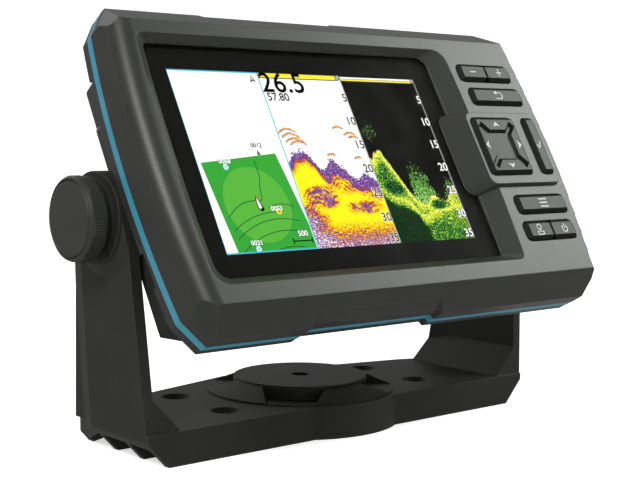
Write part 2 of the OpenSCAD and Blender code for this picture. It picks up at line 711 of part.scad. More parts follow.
module socket_nuts() color("#232423") in_head() for (x = [-socket_x, socket_x]) translate([x, 0, socket_z])
    difference() {
        slab_y(rear_depth - 0.4, rear_depth + 2.4) circle(r = 12.6, $fn = 6);
        bar_y(socket_r + 0.05, 0, rear_depth + 5);
    }

module socket_seals() color("#0c0c0c") in_head() for (x = [-socket_x, socket_x])
    translate([x, rear_depth - 0.95, socket_z]) rotate([90, 0, 0])
        rotate_extrude() translate([socket_r + 1, 0]) circle(r = 0.42, $fn = 24);

module vent_plug() color("#2a2b2a") in_head() translate([0, 0, -26]) {
    bar_y(3, rear_depth - wall, rear_depth + 0.2);
    bar_y(4.4, rear_depth + 0.05, rear_depth + 1.1);
}

module case_screws() color("#9a9d9e") in_head() for (p = case_posts) translate([p[0], 0, p[1]]) difference() {
    union() {
        bar_y(2.8, -11.95, -9.9);
        bar_y(1.25, -27, -11.9);
    }
    bar_y(1.3, -11, -9);
}

module board_screws() color("#9a9d9e") in_head() for (p = board_posts) translate([p[0], 0, p[1]]) {
    bar_y(2.4, board_y - 1.3, board_y - 0.02);
    bar_y(1.05, board_y - 0.5, -9);
}

module key_board_screws() color("#9a9d9e") in_head() for (p = key_board_posts) translate([p[0], 0, p[1]]) {
    bar_y(2, key_board_y + 1.22, key_board_y + 2.3);
    bar_y(0.95, key_board_y - 3.8, key_board_y + 1.3);
}

bail_bracket();
tilt_washer(-1);  // tilt_washer_left
tilt_washer(1);  // tilt_washer_right
knob(-1);  // knob_left
knob(1);  // knob_right
knob_stud(-1);  // knob_stud_left
knob_stud(1);  // knob_stud_right
knob_washer(-1);  // knob_washer_left
knob_washer(1);  // knob_washer_right
front_bezel();
accent_strip();
case_gasket();
rear_housing();
pivot_insert(-1);  // pivot_insert_left
pivot_insert(1);  // pivot_insert_right
glass_adhesive();
cover_glass();
lcd_panel();
backlight_stack();
lcd_frame();
lcd_flex();
main_board();
main_board_chips();
shield_can();
gps_antenna();
buzzer();
backup_cell();
key_board();
key_switches();
keypad_membrane();
board_ribbon();
key_minus();
key_plus();
key_back();
key_select();
key_menu();
key_mark();
key_power();
key_dpad();
dpad_actuator();
power_socket();
power_pins();
transducer_socket();
transducer_pins();
socket_seals();
socket_nuts();
vent_plug();
case_screws();
board_screws();
key_board_screws();
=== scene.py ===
import json
import math

import bmesh
import bpy
from mathutils import Matrix, Vector


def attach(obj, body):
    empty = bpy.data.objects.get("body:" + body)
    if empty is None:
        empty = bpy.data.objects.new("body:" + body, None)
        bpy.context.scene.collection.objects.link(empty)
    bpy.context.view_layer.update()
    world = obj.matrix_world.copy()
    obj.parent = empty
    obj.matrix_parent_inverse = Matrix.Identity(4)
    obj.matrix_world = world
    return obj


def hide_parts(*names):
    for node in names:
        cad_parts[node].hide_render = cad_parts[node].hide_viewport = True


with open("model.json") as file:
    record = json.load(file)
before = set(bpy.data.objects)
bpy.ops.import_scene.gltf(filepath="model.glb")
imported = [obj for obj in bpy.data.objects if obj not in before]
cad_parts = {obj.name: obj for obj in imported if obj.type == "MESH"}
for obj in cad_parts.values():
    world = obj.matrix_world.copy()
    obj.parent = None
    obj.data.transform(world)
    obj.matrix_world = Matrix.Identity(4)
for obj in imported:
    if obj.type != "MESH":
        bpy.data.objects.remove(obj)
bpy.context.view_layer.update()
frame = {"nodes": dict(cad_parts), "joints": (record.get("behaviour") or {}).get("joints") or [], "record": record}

# Lengths are in metres, or in mm where a comment says so.
# Head coordinates: origin on the tilt axis, -y out of the screen, +z up the screen.
MM = 0.001
REST_TILT = math.radians(30)
TILT = next(j for j in frame["joints"] if j["name"] == "head_tilt")
HEAD = Matrix.Translation(Vector(TILT["pos_m"])) @ Matrix.Rotation(-REST_TILT, 4, "X")
FORWARD = HEAD.to_3x3() @ Vector((0, -1, 0))
NODES = frame["nodes"]


def round_the_clock(count):
    """This many even angles round a full turn."""
    return [2 * math.pi * i / count for i in range(count)]


def head_box(node):
    """Lowest and highest corner of a CAD node in head coordinates, in mm."""
    inverse = HEAD.inverted()
    points = [inverse @ v.co for v in NODES[node].data.vertices]
    low = [min(p[i] for p in points) / MM for i in range(3)]
    high = [max(p[i] for p in points) / MM for i in range(3)]
    return low, high


# ---------------------------------------------------------------- materials

# Places of the colour sockets on Blender's Mix node
MIX_A, MIX_B, MIX_RESULT = 6, 7, 2
# Noise scales of moulded plastic: faint patches, rubbed edges with a painted edge highlight, fine grain
PATCHES, EDGE_WEAR_AND_HIGHLIGHT_NOISE, GRAIN = 90, 260, 2600


class Shader:
    """A node material with short ways to add and join nodes."""

    def __init__(self, name):
        self.mat = bpy.data.materials.new(name)
        self.mat.use_nodes = True
        self.tree = self.mat.node_tree
        self.tree.nodes.clear()
        self.out = self.node("ShaderNodeOutputMaterial")
        self.bsdf = self.node("ShaderNodeBsdfPrincipled")
        self.link(self.bsdf.outputs[0], self.out.inputs[0])

    def node(self, kind, **settings):
        made = self.tree.nodes.new(kind)
        for key, value in settings.items():
            setattr(made, key, value)
        return made

    def link(self, source, target):
        self.tree.links.new(source, target)

    def put(self, target, value):
        if hasattr(value, "is_output"):
            self.link(value, target)
        else:
            target.default_value = value

    def set(self, name, value):
        self.put(self.bsdf.inputs[name], value)

    def math(self, operation, a, b=0.0, c=0.0):
        made = self.node("ShaderNodeMath", operation=operation)
        self.put(made.inputs[0], a)
        self.put(made.inputs[1], b)
        self.put(made.inputs[2], c)
        return made.outputs[0]

    def dot(self, a, b):
        made = self.node("ShaderNodeVectorMath", operation="DOT_PRODUCT")
        self.put(made.inputs[0], a)
        self.put(made.inputs[1], b)
        return made.outputs["Value"]

    def ramp(self, value, low, high, to_low=0.0, to_high=1.0):
        made = self.node("ShaderNodeMapRange", clamp=True)
        for i, item in enumerate((value, low, high, to_low, to_high)):
            self.put(made.inputs[i], item)
        return made.outputs[0]

    def mix(self, factor, a, b):
        made = self.node("ShaderNodeMix", data_type="RGBA")
        self.put(made.inputs[0], factor)
        self.put(made.inputs[MIX_A], a)
        self.put(made.inputs[MIX_B], b)
        return made.outputs[MIX_RESULT]

    def coords(self):
        return self.node("ShaderNodeTexCoord").outputs["Object"]

    def noise(self, scale, detail=2.0, rough=0.5, at=None, stretch=None):
        vector = at or self.coords()
        if stretch:
            mapped = self.node("ShaderNodeMapping")
            self.link(vector, mapped.inputs[0])
            mapped.inputs["Scale"].default_value = stretch
            vector = mapped.outputs[0]
        made = self.node("ShaderNodeTexNoise")
        self.link(vector, made.inputs["Vector"])
        made.inputs["Scale"].default_value = scale
        made.inputs["Detail"].default_value = detail
        made.inputs["Roughness"].default_value = rough
        return made.outputs[0]

    def bump(self, height, distance, strength=1.0, normal=None):
        made = self.node("ShaderNodeBump")
        made.inputs["Strength"].default_value = strength
        made.inputs["Distance"].default_value = distance
        self.link(height, made.inputs["Height"])
        if normal:
            self.link(normal, made.inputs["Normal"])
        return made.outputs[0]


def moulded(name, dark, light, rough=0.45, grain=0.03, edge=0.45, shine=0.42,
            edge_wear_and_highlight_colour=(0.1, 0.105, 0.095, 1), sides=None):
    """Fine-grained moulded plastic with slightly rounded edges, lighter in colour: partly rubbed wear, partly a
    painted edge highlight.

    grain and edge are in mm. Given a shade colour, faces that do not look out of the screen
    take that darker colour and less shine: painted shade on the walls.
    """
    s = Shader(name)
    rounded = s.node("ShaderNodeBevel", samples=4)
    rounded.inputs["Radius"].default_value = edge * MM
    flat = s.node("ShaderNodeNewGeometry").outputs["Normal"]
    # lighter colour along edges: partly wear, partly a painted edge highlight
    edge_wear_and_highlight = s.ramp(s.dot(rounded.outputs[0], flat), 0.995, 0.86)
    patches = s.noise(PATCHES, 3, 0.6)
    base = s.mix(s.ramp(patches, 0.3, 0.7), dark, light)
    edge_wear_and_highlight = s.math("MULTIPLY", edge_wear_and_highlight, s.ramp(s.noise(EDGE_WEAR_AND_HIGHLIGHT_NOISE, 3), 0.3, 0.75, 0.1, 0.6))
    colour = s.mix(edge_wear_and_highlight, base, edge_wear_and_highlight_colour)
    # painted shade: faces that do not look out of the screen get a darker colour and less shine
    if sides:
        own = s.node("ShaderNodeTexCoord").outputs["Normal"]
        top = s.ramp(s.dot(own, tuple(FORWARD)), 0.8, 0.97)
        colour = s.mix(top, sides, colour)
        s.set("Specular IOR Level", s.ramp(top, 0.0, 1.0, 0.12, shine))
    else:
        s.set("Specular IOR Level", shine)
    s.set("Base Color", colour)
    texture = s.noise(GRAIN, 2, 0.6)
    s.set("Roughness", s.ramp(texture, 0.25, 0.75, rough - 0.05, rough + 0.09))
    s.set("Normal", s.bump(texture, grain * MM, 0.5, rounded.outputs[0]))
    return s.mat


def dimmed(colour, share):
    """A colour at this share of its brightness."""
    return [c * share for c in colour[:3]] + [1]


def metal(name, colour, rough=0.3, brushed=(1, 1, 1)):
    """Metal with fine lines, longer along the axis where brushed is smaller."""
    s = Shader(name)
    lines = s.noise(900, 3, 0.6, stretch=brushed)
    s.set("Base Color", s.mix(s.ramp(lines, 0.3, 0.7), colour, dimmed(colour, 0.72)))
    s.set("Metallic", 1.0)
    s.set("Roughness", s.ramp(lines, 0.3, 0.7, rough - 0.08, rough + 0.12))
    s.set("Normal", s.bump(lines, 0.01 * MM, 0.4))
    return s.mat


def board_finish(name):
    """Green solder mask over faint copper tracks."""
    s = Shader(name)
    tracks = s.node("ShaderNodeTexBrick")
    s.link(s.coords(), tracks.inputs["Vector"])
    tracks.inputs["Scale"].default_value = 260
    tracks.inputs["Color1"].default_value = (0.015, 0.12, 0.045, 1)
    tracks.inputs["Color2"].default_value = (0.02, 0.16, 0.06, 1)
    tracks.inputs["Mortar"].default_value = (0.05, 0.24, 0.09, 1)
    s.set("Base Color", tracks.outputs[0])
    s.set("Roughness", s.ramp(s.noise(500), 0.3, 0.7, 0.28, 0.4))
    s.set("Normal", s.bump(tracks.outputs["Fac"], 0.03 * MM, 0.4))
    return s.mat


def soft(name, colour, rough=0.8, scale=1500, grain=0.03):
    """Rubber, film or foam: matt, with a fine even texture."""
    s = Shader(name)
    texture = s.noise(scale, 2, 0.6)
    s.set("Base Color", s.mix(s.ramp(texture, 0.3, 0.7), colour, dimmed(colour, 0.8)))
    s.set("Roughness", s.ramp(texture, 0.3, 0.7, rough - 0.06, rough + 0.06))
    s.set("Normal", s.bump(texture, grain * MM, 0.5))
    return s.mat


HOUSING = moulded("housing_plastic", (0.018, 0.0195, 0.0155, 1), (0.022, 0.0235, 0.0195, 1),
                  rough=0.4)
BRACKET = moulded("bracket_plastic", (0.015, 0.016, 0.0125, 1), (0.019, 0.02, 0.0158, 1),
                  rough=0.55, shine=0.25)
KNOB = moulded("knob_plastic", (0.018, 0.019, 0.015, 1), (0.022, 0.023, 0.0185, 1), rough=0.5)
# the key walls get a near-black colour and less shine: painted shade
KEYS = moulded("key_plastic", (0.016, 0.018, 0.016, 1), (0.02, 0.022, 0.02, 1),
               rough=0.48, grain=0.015, edge=0.12, shine=0.36, sides=(0.006, 0.0065, 0.006, 1))
# light teal along the edges: partly wear, partly a painted edge highlight
ACCENT = moulded("accent_plastic", (0.03, 0.2, 0.285, 1), (0.034, 0.22, 0.31, 1),
                 rough=0.45, grain=0.01, edge=0.15, edge_wear_and_highlight_colour=(0.1, 0.32, 0.42, 1))
RUBBER = soft("rubber", (0.012, 0.012, 0.012, 1))
STEEL = metal("steel", (0.55, 0.55, 0.54, 1), 0.32, (1, 6, 6))
BRASS = metal("brass", (0.72, 0.5, 0.2, 1), 0.3)
CONTACT = metal("plated_brass", (0.85, 0.62, 0.25, 1), 0.22)
TRAY = metal("tray", (0.5, 0.51, 0.52, 1), 0.38, (1, 1, 5))
BOARD = board_finish("circuit_board")
CHIPS = soft("moulded_package", (0.013, 0.013, 0.013, 1), 0.5, 1200, 0.02)
FILM = soft("amber_film", (0.42, 0.2, 0.035, 1), 0.35, 700, 0.01)
CERAMIC = soft("ceramic", (0.5, 0.42, 0.3, 1), 0.55, 900, 0.01)
DIFFUSER = soft("diffuser_film", (0.78, 0.78, 0.74, 1), 0.5, 900, 0.005)

# The CAD nodes of slots lcd and glass are replaced by pieces made further down.
SLOT_FINISH = {
    "bracket_plastic": BRACKET, "housing_plastic": HOUSING, "key_plastic": KEYS,
    "knob_plastic": KNOB, "accent_plastic": ACCENT, "rubber": RUBBER, "steel": STEEL,
    "brass": BRASS, "pin_brass": CONTACT, "tray": TRAY, "board": BOARD, "chips": CHIPS,
    "film": FILM, "diffuser": DIFFUSER, "ceramic": CERAMIC, "lcd": CHIPS, "glass": CHIPS,
}
for part in frame["record"]["subparts"]:
    shown = NODES[part["node"]]
    shown.data.materials.clear()
    shown.data.materials.append(SLOT_FINISH[part["material_slot"]])


# Brightness of the screen's plain colours and of its two sonar pictures
PLAIN_LEVEL, PICTURE_LEVEL = 0.92, 0.88


def glow(name, colour):
    """A lit colour on the screen, with the faint mottle of the panel's surface."""
    s = Shader(name)
    mottle = s.ramp(s.noise(900), 0.2, 0.8, 0.97, 1.0)
    s.set("Base Color", dimmed(colour, 0.2))
    s.set("Roughness", 0.5)
    s.set("Specular IOR Level", 0.0)
    s.set("Emission Color", colour)
    s.set("Emission Strength", s.math("MULTIPLY", mottle, PLAIN_LEVEL))
    return s.mat


WHITE = glow("lit_white", (0.98, 0.98, 0.97, 1))
BLACK = glow("lit_black", (0.003, 0.003, 0.003, 1))
CYAN = glow("lit_cyan", (0.05, 0.5, 0.7, 1))
GREEN = glow("lit_green", (0.04, 0.36, 0.04, 1))
PALE_GREEN = glow("lit_pale_green", (0.1, 0.44, 0.05, 1))
DARK_GREEN = glow("lit_dark_green", (0.01, 0.13, 0.03, 1))
YELLOW = glow("lit_yellow", (0.95, 0.8, 0.04, 1))
GREY = glow("lit_grey", (0.45, 0.45, 0.43, 1))
DARK_GREY = glow("lit_dark_grey", (0.06, 0.06, 0.055, 1))
ORANGE = glow("lit_orange", (0.85, 0.3, 0.05, 1))
OLIVE = glow("lit_olive", (0.3, 0.3, 0.03, 1))
PALE_BLUE = glow("lit_pale_blue", (0.6, 0.86, 0.95, 1))
PRINT = soft("key_print", (0.5, 0.52, 0.5, 1), 0.5, 900, 0.005)


# ---------------------------------------------------------------- flat pieces on the head

def add_mesh(name, bm, finish, body):
    bmesh.ops.recalc_face_normals(bm, faces=bm.faces)
    mesh = bpy.data.meshes.new(name)
    bm.to_mesh(mesh)
    bm.free()
    made = bpy.data.objects.new(name, mesh)
    bpy.context.scene.collection.objects.link(made)
    mesh.materials.append(finish)
    mesh.transform(HEAD)
    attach(made, body)
    return made


def prism(bm, outline, front, back):
    """Adds a flat plate with this x,z outline in mm between two y planes in mm."""
    rows = [[bm.verts.new((x * MM, y * MM, z * MM)) for x, z in outline] for y in (front, back)]
    bm.faces.new(rows[0])
    bm.faces.new(rows[1][::-1])
    count = len(outline)
    for i in range(count):
        j = (i + 1) % count
        bm.faces.new((rows[0][i], rows[0][j], rows[1][j], rows[1][i]))


def plate(name, outlines, front, back, finish, body="head"):
    bm = bmesh.new()
    for outline in outlines:
        prism(bm, outline, front, back)
    return add_mesh(name, bm, finish, body)


def rectangle(x0, z0, x1, z1):
    return [(x0, z0), (x1, z0), (x1, z1), (x0, z1)]


def stroke(points, width, closed=False):
    """The outlines of a line of even width through these points, with mitred corners."""
    count = len(points)
    left, right = [], []
    for i, (x, z) in enumerate(points):
        before = points[i - 1] if (i or closed) else None
        after = points[(i + 1) % count] if (i < count - 1 or closed) else None
        normals = []
        for a, b in ((before, (x, z)), ((x, z), after)):
            if a and b:
                dx, dz = b[0] - a[0], b[1] - a[1]
                length = math.hypot(dx, dz)
                normals.append((-dz / length, dx / length))
        nx = sum(n[0] for n in normals) / len(normals)
        nz = sum(n[1] for n in normals) / len(normals)
        scale = width / 2 / max(nx * nx + nz * nz, SHARPEST)
        left.append((x + nx * scale, z + nz * scale))
        right.append((x - nx * scale, z - nz * scale))
    if closed:
        return [[left[i], left[(i + 1) % count], right[(i + 1) % count], right[i]]
                for i in range(count)]
    return [left + right[::-1]]


# Smallest squared length of a corner's mean normal, so a sharp corner's mitre stays short
SHARPEST = 0.3


def smooth_line(points, steps=6):
    """A Catmull-Rom curve through these points."""
    ends = [points[0]] + list(points) + [points[-1]]
    made = []
    for a, b, c, d in zip(ends, ends[1:], ends[2:], ends[3:]):
        for k in range(steps):
            t = k / steps
            made.append(tuple(
                0.5 * (2 * b[i] + (c[i] - a[i]) * t
                       + (2 * a[i] - 5 * b[i] + 4 * c[i] - d[i]) * t * t
                       + (3 * b[i] - a[i] - 3 * c[i] + d[i]) * t ** 3) for i in (0, 1)))
    return made + [points[-1]]


# ---------------------------------------------------------------- screen

# All in mm: the lit area's size and middle, the page's face, the step between layers drawn
# on it and the thickness of what is drawn.
GLASS_LOW, GLASS_HIGH = head_box("cover_glass")
LCD_LOW, LCD_HIGH = head_box("lcd_panel")
LIT_W, LIT_H = 108.0, 64.8
LIT_X = (LCD_LOW[0] + LCD_HIGH[0]) / 2 + 0.2
LIT_Z = (LCD_LOW[2] + LCD_HIGH[2]) / 2 + 0.2
PAGE_Y = LCD_LOW[1] + 0.5
LAYER = 0.05
DRAWN = 0.03


def at(u, v):
    """A place on the lit area: u runs 0 to 1 from left to right, v 0 to 1 from bottom to top."""
    return LIT_X + (u - 0.5) * LIT_W, LIT_Z + (v - 0.5) * LIT_H


def drawn(name, outlines, layer, finish):
    """Flat shapes in mm, this many layers in front of the page."""
    front = PAGE_Y - layer * LAYER
    plate(name, outlines, front, front + DRAWN, finish)


def lit(name, outlines, layer, finish):
    """Flat shapes given by places on the lit area."""
    drawn(name, [[at(u, v) for u, v in outline] for outline in outlines], layer, finish)


def lit_line(name, lines, width, layer, finish):
    """Lines this many mm wide through places on the lit area."""
    outlines = []
    for line in lines:
        outlines += stroke([at(u, v) for u, v in line], width)
    drawn(name, outlines, layer, finish)


def dot(u, v, r, count=20):
    """A round spot on the lit area, r in mm."""
    return [(u + r * math.cos(a) / LIT_W, v + r * math.sin(a) / LIT_H)
            for a in round_the_clock(count)]


def clip(outline, u0, u1, v0=0.0, v1=1.0):
    """Cuts an outline to a rectangle (Sutherland-Hodgman)."""
    for axis, limit, keep_low in ((0, u0, False), (0, u1, True), (1, v0, False), (1, v1, True)):
        cut = []
        for i, p in enumerate(outline):
            q = outline[(i + 1) % len(outline)]
            inside_p = p[axis] <= limit if keep_low else p[axis] >= limit
            inside_q = q[axis] <= limit if keep_low else q[axis] >= limit
            if inside_p:
                cut.append(p)
            if inside_p != inside_q:
                t = (limit - p[axis]) / (q[axis] - p[axis])
                cut.append(tuple(p[i] + t * (q[i] - p[i]) for i in (0, 1)))
        outline = cut
    return outline


def number(name, text, u, v, height, finish, align="RIGHT", layer=4, bold=0.0, space=1.0):
    """Plain figures on the screen, in Blender's own font. height and bold are in mm."""
    curve = bpy.data.curves.new(name, "FONT")
    curve.body = text
    curve.align_x = align
    curve.size = height * MM
    curve.offset = bold * MM
    curve.space_character = space
    curve.extrude = 0.01 * MM
    curve.resolution_u = 4
    curve.materials.append(finish)
    made = bpy.data.objects.new(name, curve)
    bpy.context.scene.collection.objects.link(made)
    x, z = at(u, v)
    place = Matrix.Translation((x * MM, (PAGE_Y - layer * LAYER) * MM, z * MM))
    made.matrix_world = HEAD @ (place @ Matrix.Rotation(math.pi / 2, 4, "X"))
    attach(made, "head")


def page(name, u0, u1, finish):
    """A third of the lit area, with a 0 to 1 map across it for its procedural picture."""
    bm = bmesh.new()
    x0, z0 = at(u0, 0)
    x1, z1 = at(u1, 1)
    prism(bm, rectangle(x0, z0, x1, z1), PAGE_Y - LAYER, PAGE_Y)
    layer = bm.loops.layers.uv.new("page")
    for face in bm.faces:
        for loop in face.loops:
            x, z = loop.vert.co.x / MM, loop.vert.co.z / MM
            loop[layer].uv = ((x - x0) / (x1 - x0), (z - z0) / (z1 - z0))
    add_mesh(name, bm, finish, "head")


class Picture(Shader):
    """A lit procedural picture over a page's own 0 to 1 map."""

    def __init__(self, name):
        super().__init__(name)
        split = self.node("ShaderNodeSeparateXYZ")
        self.map = self.node("ShaderNodeUVMap", uv_map="page").outputs[0]
        self.link(self.map, split.inputs[0])
        self.u, self.v = split.outputs[0], split.outputs[1]
        self.set("Specular IOR Level", 0.0)

    def profile(self, heights):
        """A curve over u through these (u, height) points."""
        made = self.node("ShaderNodeFloatCurve")
        curve = made.mapping.curves[0]
        curve.points[0].location = heights[0]
        curve.points[1].location = heights[-1]
        for place in heights[1:-1]:
            curve.points.new(*place)
        made.mapping.update()
        self.link(self.u, made.inputs["Value"])
        return made.outputs[0]

    def spot(self, u, v, across, high):
        """1 in the middle of an ellipse of these half sizes, falling to 0 at its rim."""
        du = self.math("DIVIDE", self.math("SUBTRACT", self.u, u), across)
        dv = self.math("DIVIDE", self.math("SUBTRACT", self.v, v), high)
        away = self.math("ADD", self.math("MULTIPLY", du, du), self.math("MULTIPLY", dv, dv))
        return self.ramp(away, 1.0, 0.15)

    def arch(self, u, v, half):
        """1 along the middle of a thin arch with its top at u, v, and 0 at its edges and ends."""
        du = self.math("SUBTRACT", self.u, u)
        line = self.math("SUBTRACT", v, self.math("MULTIPLY", self.math("MULTIPLY", du, du), 2.2))
        near = self.ramp(self.math("ABSOLUTE", self.math("SUBTRACT", self.v, line)), 0.011, 0.003)
        return self.math("MULTIPLY", near, self.ramp(self.math("ABSOLUTE", du), half, half * 0.6))

    def show(self, colour):
        """Lights the page with this colour."""
        self.set("Base Color", self.mix(0.25, (0, 0, 0, 1), colour))
        self.set("Emission Color", colour)
        self.set("Emission Strength", PICTURE_LEVEL)
        return self.mat

    def largest(self, first, *others):
        for other in others:
            first = self.math("MAXIMUM", first, other)
        return first

    def echo(self, scale, stretch=(1, 1, 1), detail=4, rough=0.65):
        return self.noise(scale, detail, rough, at=self.map, stretch=stretch)

    def colours(self, value, stops):
        made = self.node("ShaderNodeValToRGB")
        ramp = made.color_ramp
        ramp.elements[0].position, ramp.elements[0].color = stops[0]
        ramp.elements[1].position, ramp.elements[1].color = stops[-1]
        for place, colour in stops[1:-1]:
            ramp.elements.new(place).color = colour
        self.link(value, made.inputs[0])
        return made.outputs[0]


def warm_sonar():
    """Bottom echoes in yellow, orange and violet on white, under an empty water column."""
    s = Picture("sonar_warm")
    hills = s.profile([
        (0.0, 0.47), (0.06, 0.51), (0.15, 0.545), (0.25, 0.53), (0.36, 0.45), (0.41, 0.435),
        (0.5, 0.485), (0.6, 0.465), (0.7, 0.405), (0.78, 0.38), (0.86, 0.405), (1.0, 0.365)])
    fine = s.ramp(s.echo(52, (1, 1.5, 1), 2, 0.8), 0.34, 0.66)
    swirl = s.echo(5.5, (1.3, 2.8, 1), 5, 0.7)
    ripple = s.math("MULTIPLY", s.math("SUBTRACT", s.echo(16, (1, 0.4, 1), 3), 0.5), 0.06)
    depth = s.math("SUBTRACT", s.math("ADD", hills, ripple), s.v)
    # stacked arches follow the shape of the bottom above them
    bent = s.math("ADD", depth, s.math("MULTIPLY", s.math("SUBTRACT", swirl, 0.5), 0.07))
    arches = s.math("SINE", s.math("MULTIPLY", bent, 230.0))
    level = s.ramp(depth, 0.03, 0.1, 0.16, 0.96)
    torn = s.largest(s.math("MULTIPLY", s.spot(0.6, 0.385, 0.3, 0.12), 0.8),
                     s.spot(0.95, 0.33, 0.3, 0.1),
                     s.math("MULTIPLY", s.spot(0.27, 0.285, 0.26, 0.08), 1.35),
                     s.spot(0.72, 0.215, 0.28, 0.05),
                     s.math("MULTIPLY", s.spot(0.12, 0.2, 0.2, 0.1), 0.7))
    ragged = s.math("ADD", s.math("MULTIPLY", s.math("SUBTRACT", swirl, 0.5), 2.4),
                    s.math("MULTIPLY", arches, 0.2))
    level = s.math("SUBTRACT", level, s.math("MULTIPLY", torn, s.math("SUBTRACT", 0.5, ragged)))
    level = s.math("MINIMUM", s.math("MAXIMUM", level, 0.2), 0.98)
    corner = s.math("MULTIPLY", s.ramp(s.u, 0.3, 0.0), 0.1)
    bed = s.ramp(s.math("SUBTRACT", s.v, corner), 0.0, 0.17, 0.82, 0.0)
    level = s.math("SUBTRACT", level, bed)
    level = s.math("ADD", level, s.math("MULTIPLY", s.math("SUBTRACT", fine, 0.5),
                                        s.math("ADD", s.math("MULTIPLY", bed, 0.85), 0.3)))
    edge = s.math("ADD", depth, s.math("MULTIPLY", s.math("SUBTRACT", fine, 0.5), 0.035))
    inside = s.ramp(edge, 0.0, 0.003)
    echoes = s.colours(level, [
        (0.0, (0.86, 0.84, 0.92, 1)), (0.08, (0.33, 0.25, 0.52, 1)),
        (0.2, (0.08, 0.03, 0.27, 1)), (0.36, (0.28, 0.04, 0.1, 1)),
        (0.47, (0.6, 0.12, 0.015, 1)), (0.6, (0.88, 0.38, 0.01, 1)),
        (0.74, (1.0, 0.74, 0.01, 1)), (0.86, (1.0, 0.86, 0.01, 1))])
    # fish: short bent echoes hanging in the water
    streaks = s.echo(12, (1.5, 5.5, 1), 4, 0.75)
    school = s.largest(*(s.arch(u, v, half) for u, v, half in (
        (0.12, 0.672, 0.13), (0.14, 0.645, 0.15), (0.17, 0.618, 0.14), (0.2, 0.6, 0.12),
        (0.74, 0.685, 0.09), (0.87, 0.65, 0.09), (0.9, 0.628, 0.08), (0.55, 0.525, 0.07),
        (0.87, 0.505, 0.06))))
    spots = s.ramp(s.math("ADD", s.math("MULTIPLY", school, 0.42), streaks), 0.7, 0.73)
    near_bottom = s.math("MULTIPLY", s.ramp(depth, -0.07, 0.0), 0.5)
    dust = s.ramp(s.math("ADD", near_bottom, fine), 1.12, 1.2)
    fish = s.colours(s.math("ADD", s.math("MULTIPLY", school, 0.5), fine), [
        (0.45, (0.16, 0.08, 0.36, 1)), (0.75, (0.42, 0.1, 0.06, 1)), (1.0, (0.85, 0.36, 0.04, 1))])
    water = s.mix(spots, (0.98, 0.98, 0.97, 1), fish)
    water = s.mix(dust, water, (0.16, 0.09, 0.34, 1))
    return s.show(s.mix(inside, water, echoes))


